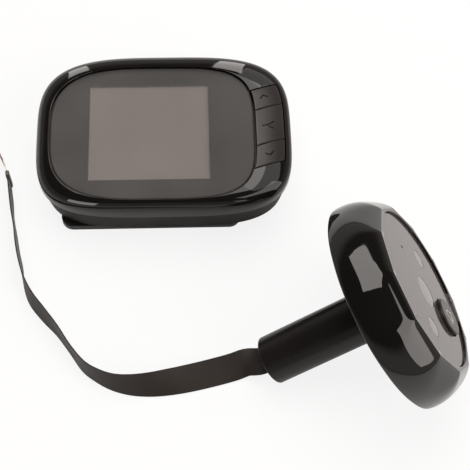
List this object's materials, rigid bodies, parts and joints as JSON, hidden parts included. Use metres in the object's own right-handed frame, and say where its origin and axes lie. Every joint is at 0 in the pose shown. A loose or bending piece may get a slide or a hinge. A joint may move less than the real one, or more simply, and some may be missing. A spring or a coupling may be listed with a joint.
{
  "type": "peephole door camera",
  "caption": "Indoor door-viewer monitor with a smoked window and side buttons on a wall bracket, with a faceted outdoor camera that has a bell button, a barrel and a flat ribbon cable.",
  "frame": {"origin": "middle of the wall bracket's back face, on the table that the object lies on", "axes": "+Z out of the screen and up off the table, +Y towards the top of the screen, +X to the right of the screen"},
  "size_m": [0.1352, 0.1163, 0.054],
  "materials": {
    "gloss_black": "high gloss",
    "satin_black": "satin",
    "rear_brown": "fine satin",
    "smoked_window": "smoked and polished",
    "display": "dark display",
    "bare_metal": "bright",
    "board_green": "solder mask",
    "socket_cream": "moulded",
    "button_grey": "satin",
    "cell_wrap": "printed sleeve without words",
    "seal_rubber": "soft",
    "lens_clear": "polished",
    "lamp_body": "clear resin",
    "ribbon_film": "polyimide film",
    "contact_gold": "plated"
  },
  "bodies": {
    "bracket": {"wall_bracket": "satin_black"},
    "monitor": {"front_casing": "gloss_black", "rear_casing": "rear_brown", "screen_window": "smoked_window", "display_frame": "bare_metal", "display_glass": "display", "main_board": "board_green", "cable_socket": "socket_cream", "tact_switches": "bare_metal", "speaker": "satin_black", "battery_cells": "cell_wrap", "battery_contacts": "bare_metal", "casing_screws": "bare_metal"},
    "battery_door": {"battery_door": "rear_brown"},
    "button_up": {"button_up": "button_grey"},
    "button_view": {"button_view": "button_grey"},
    "button_down": {"button_down": "button_grey"},
    "outdoor_unit": {"camera_housing": "gloss_black", "camera_back": "satin_black", "barrel_tube": "satin_black", "housing_seal": "seal_rubber", "camera_window": "smoked_window", "lens_glass": "lens_clear", "lens_holder": "satin_black", "image_sensor": "lamp_body", "led_covers": "lens_clear", "ir_leds": "lamp_body", "camera_board": "board_green", "board_connector": "socket_cream", "bell_switch": "satin_black", "microphone": "bare_metal", "housing_screws": "bare_metal", "ribbon_inner": "ribbon_film", "ribbon_cable": "ribbon_film", "ribbon_plug": "ribbon_film", "plug_contacts": "contact_gold", "pull_tab": "ribbon_film"},
    "bell_button": {"bell_button": "button_grey"}
  },
  "joints": [
    {"name": "monitor_unhook", "type": "slide", "parent": "bracket", "child": "monitor", "axis": [0, 1, 0], "range_m": [0, 0.008]},
    {"name": "battery_door_slide", "type": "slide", "parent": "monitor", "child": "battery_door", "axis": [0, -1, 0], "range_m": [0, 0.0235]},
    {"name": "button_up_press", "type": "slide", "parent": "monitor", "child": "button_up", "axis": [0, 0, -1], "range_m": [0, 0.0003], "stiffness_N_per_m": 800},
    {"name": "button_view_press", "type": "slide", "parent": "monitor", "child": "button_view", "axis": [0, 0, -1], "range_m": [0, 0.0003], "stiffness_N_per_m": 800},
    {"name": "button_down_press", "type": "slide", "parent": "monitor", "child": "button_down", "axis": [0, 0, -1], "range_m": [0, 0.0003], "stiffness_N_per_m": 800},
    {"name": "outdoor_lift", "type": "slide", "parent": "bracket", "child": "outdoor_unit", "axis": [0, 0, 1], "range_m": [0, 0.12]},
    {"name": "bell_press", "type": "slide", "parent": "outdoor_unit", "child": "bell_button", "axis": [-0.82, -0.2167, -0.5298], "range_m": [0, 0.0007], "stiffness_N_per_m": 800}
  ]
}
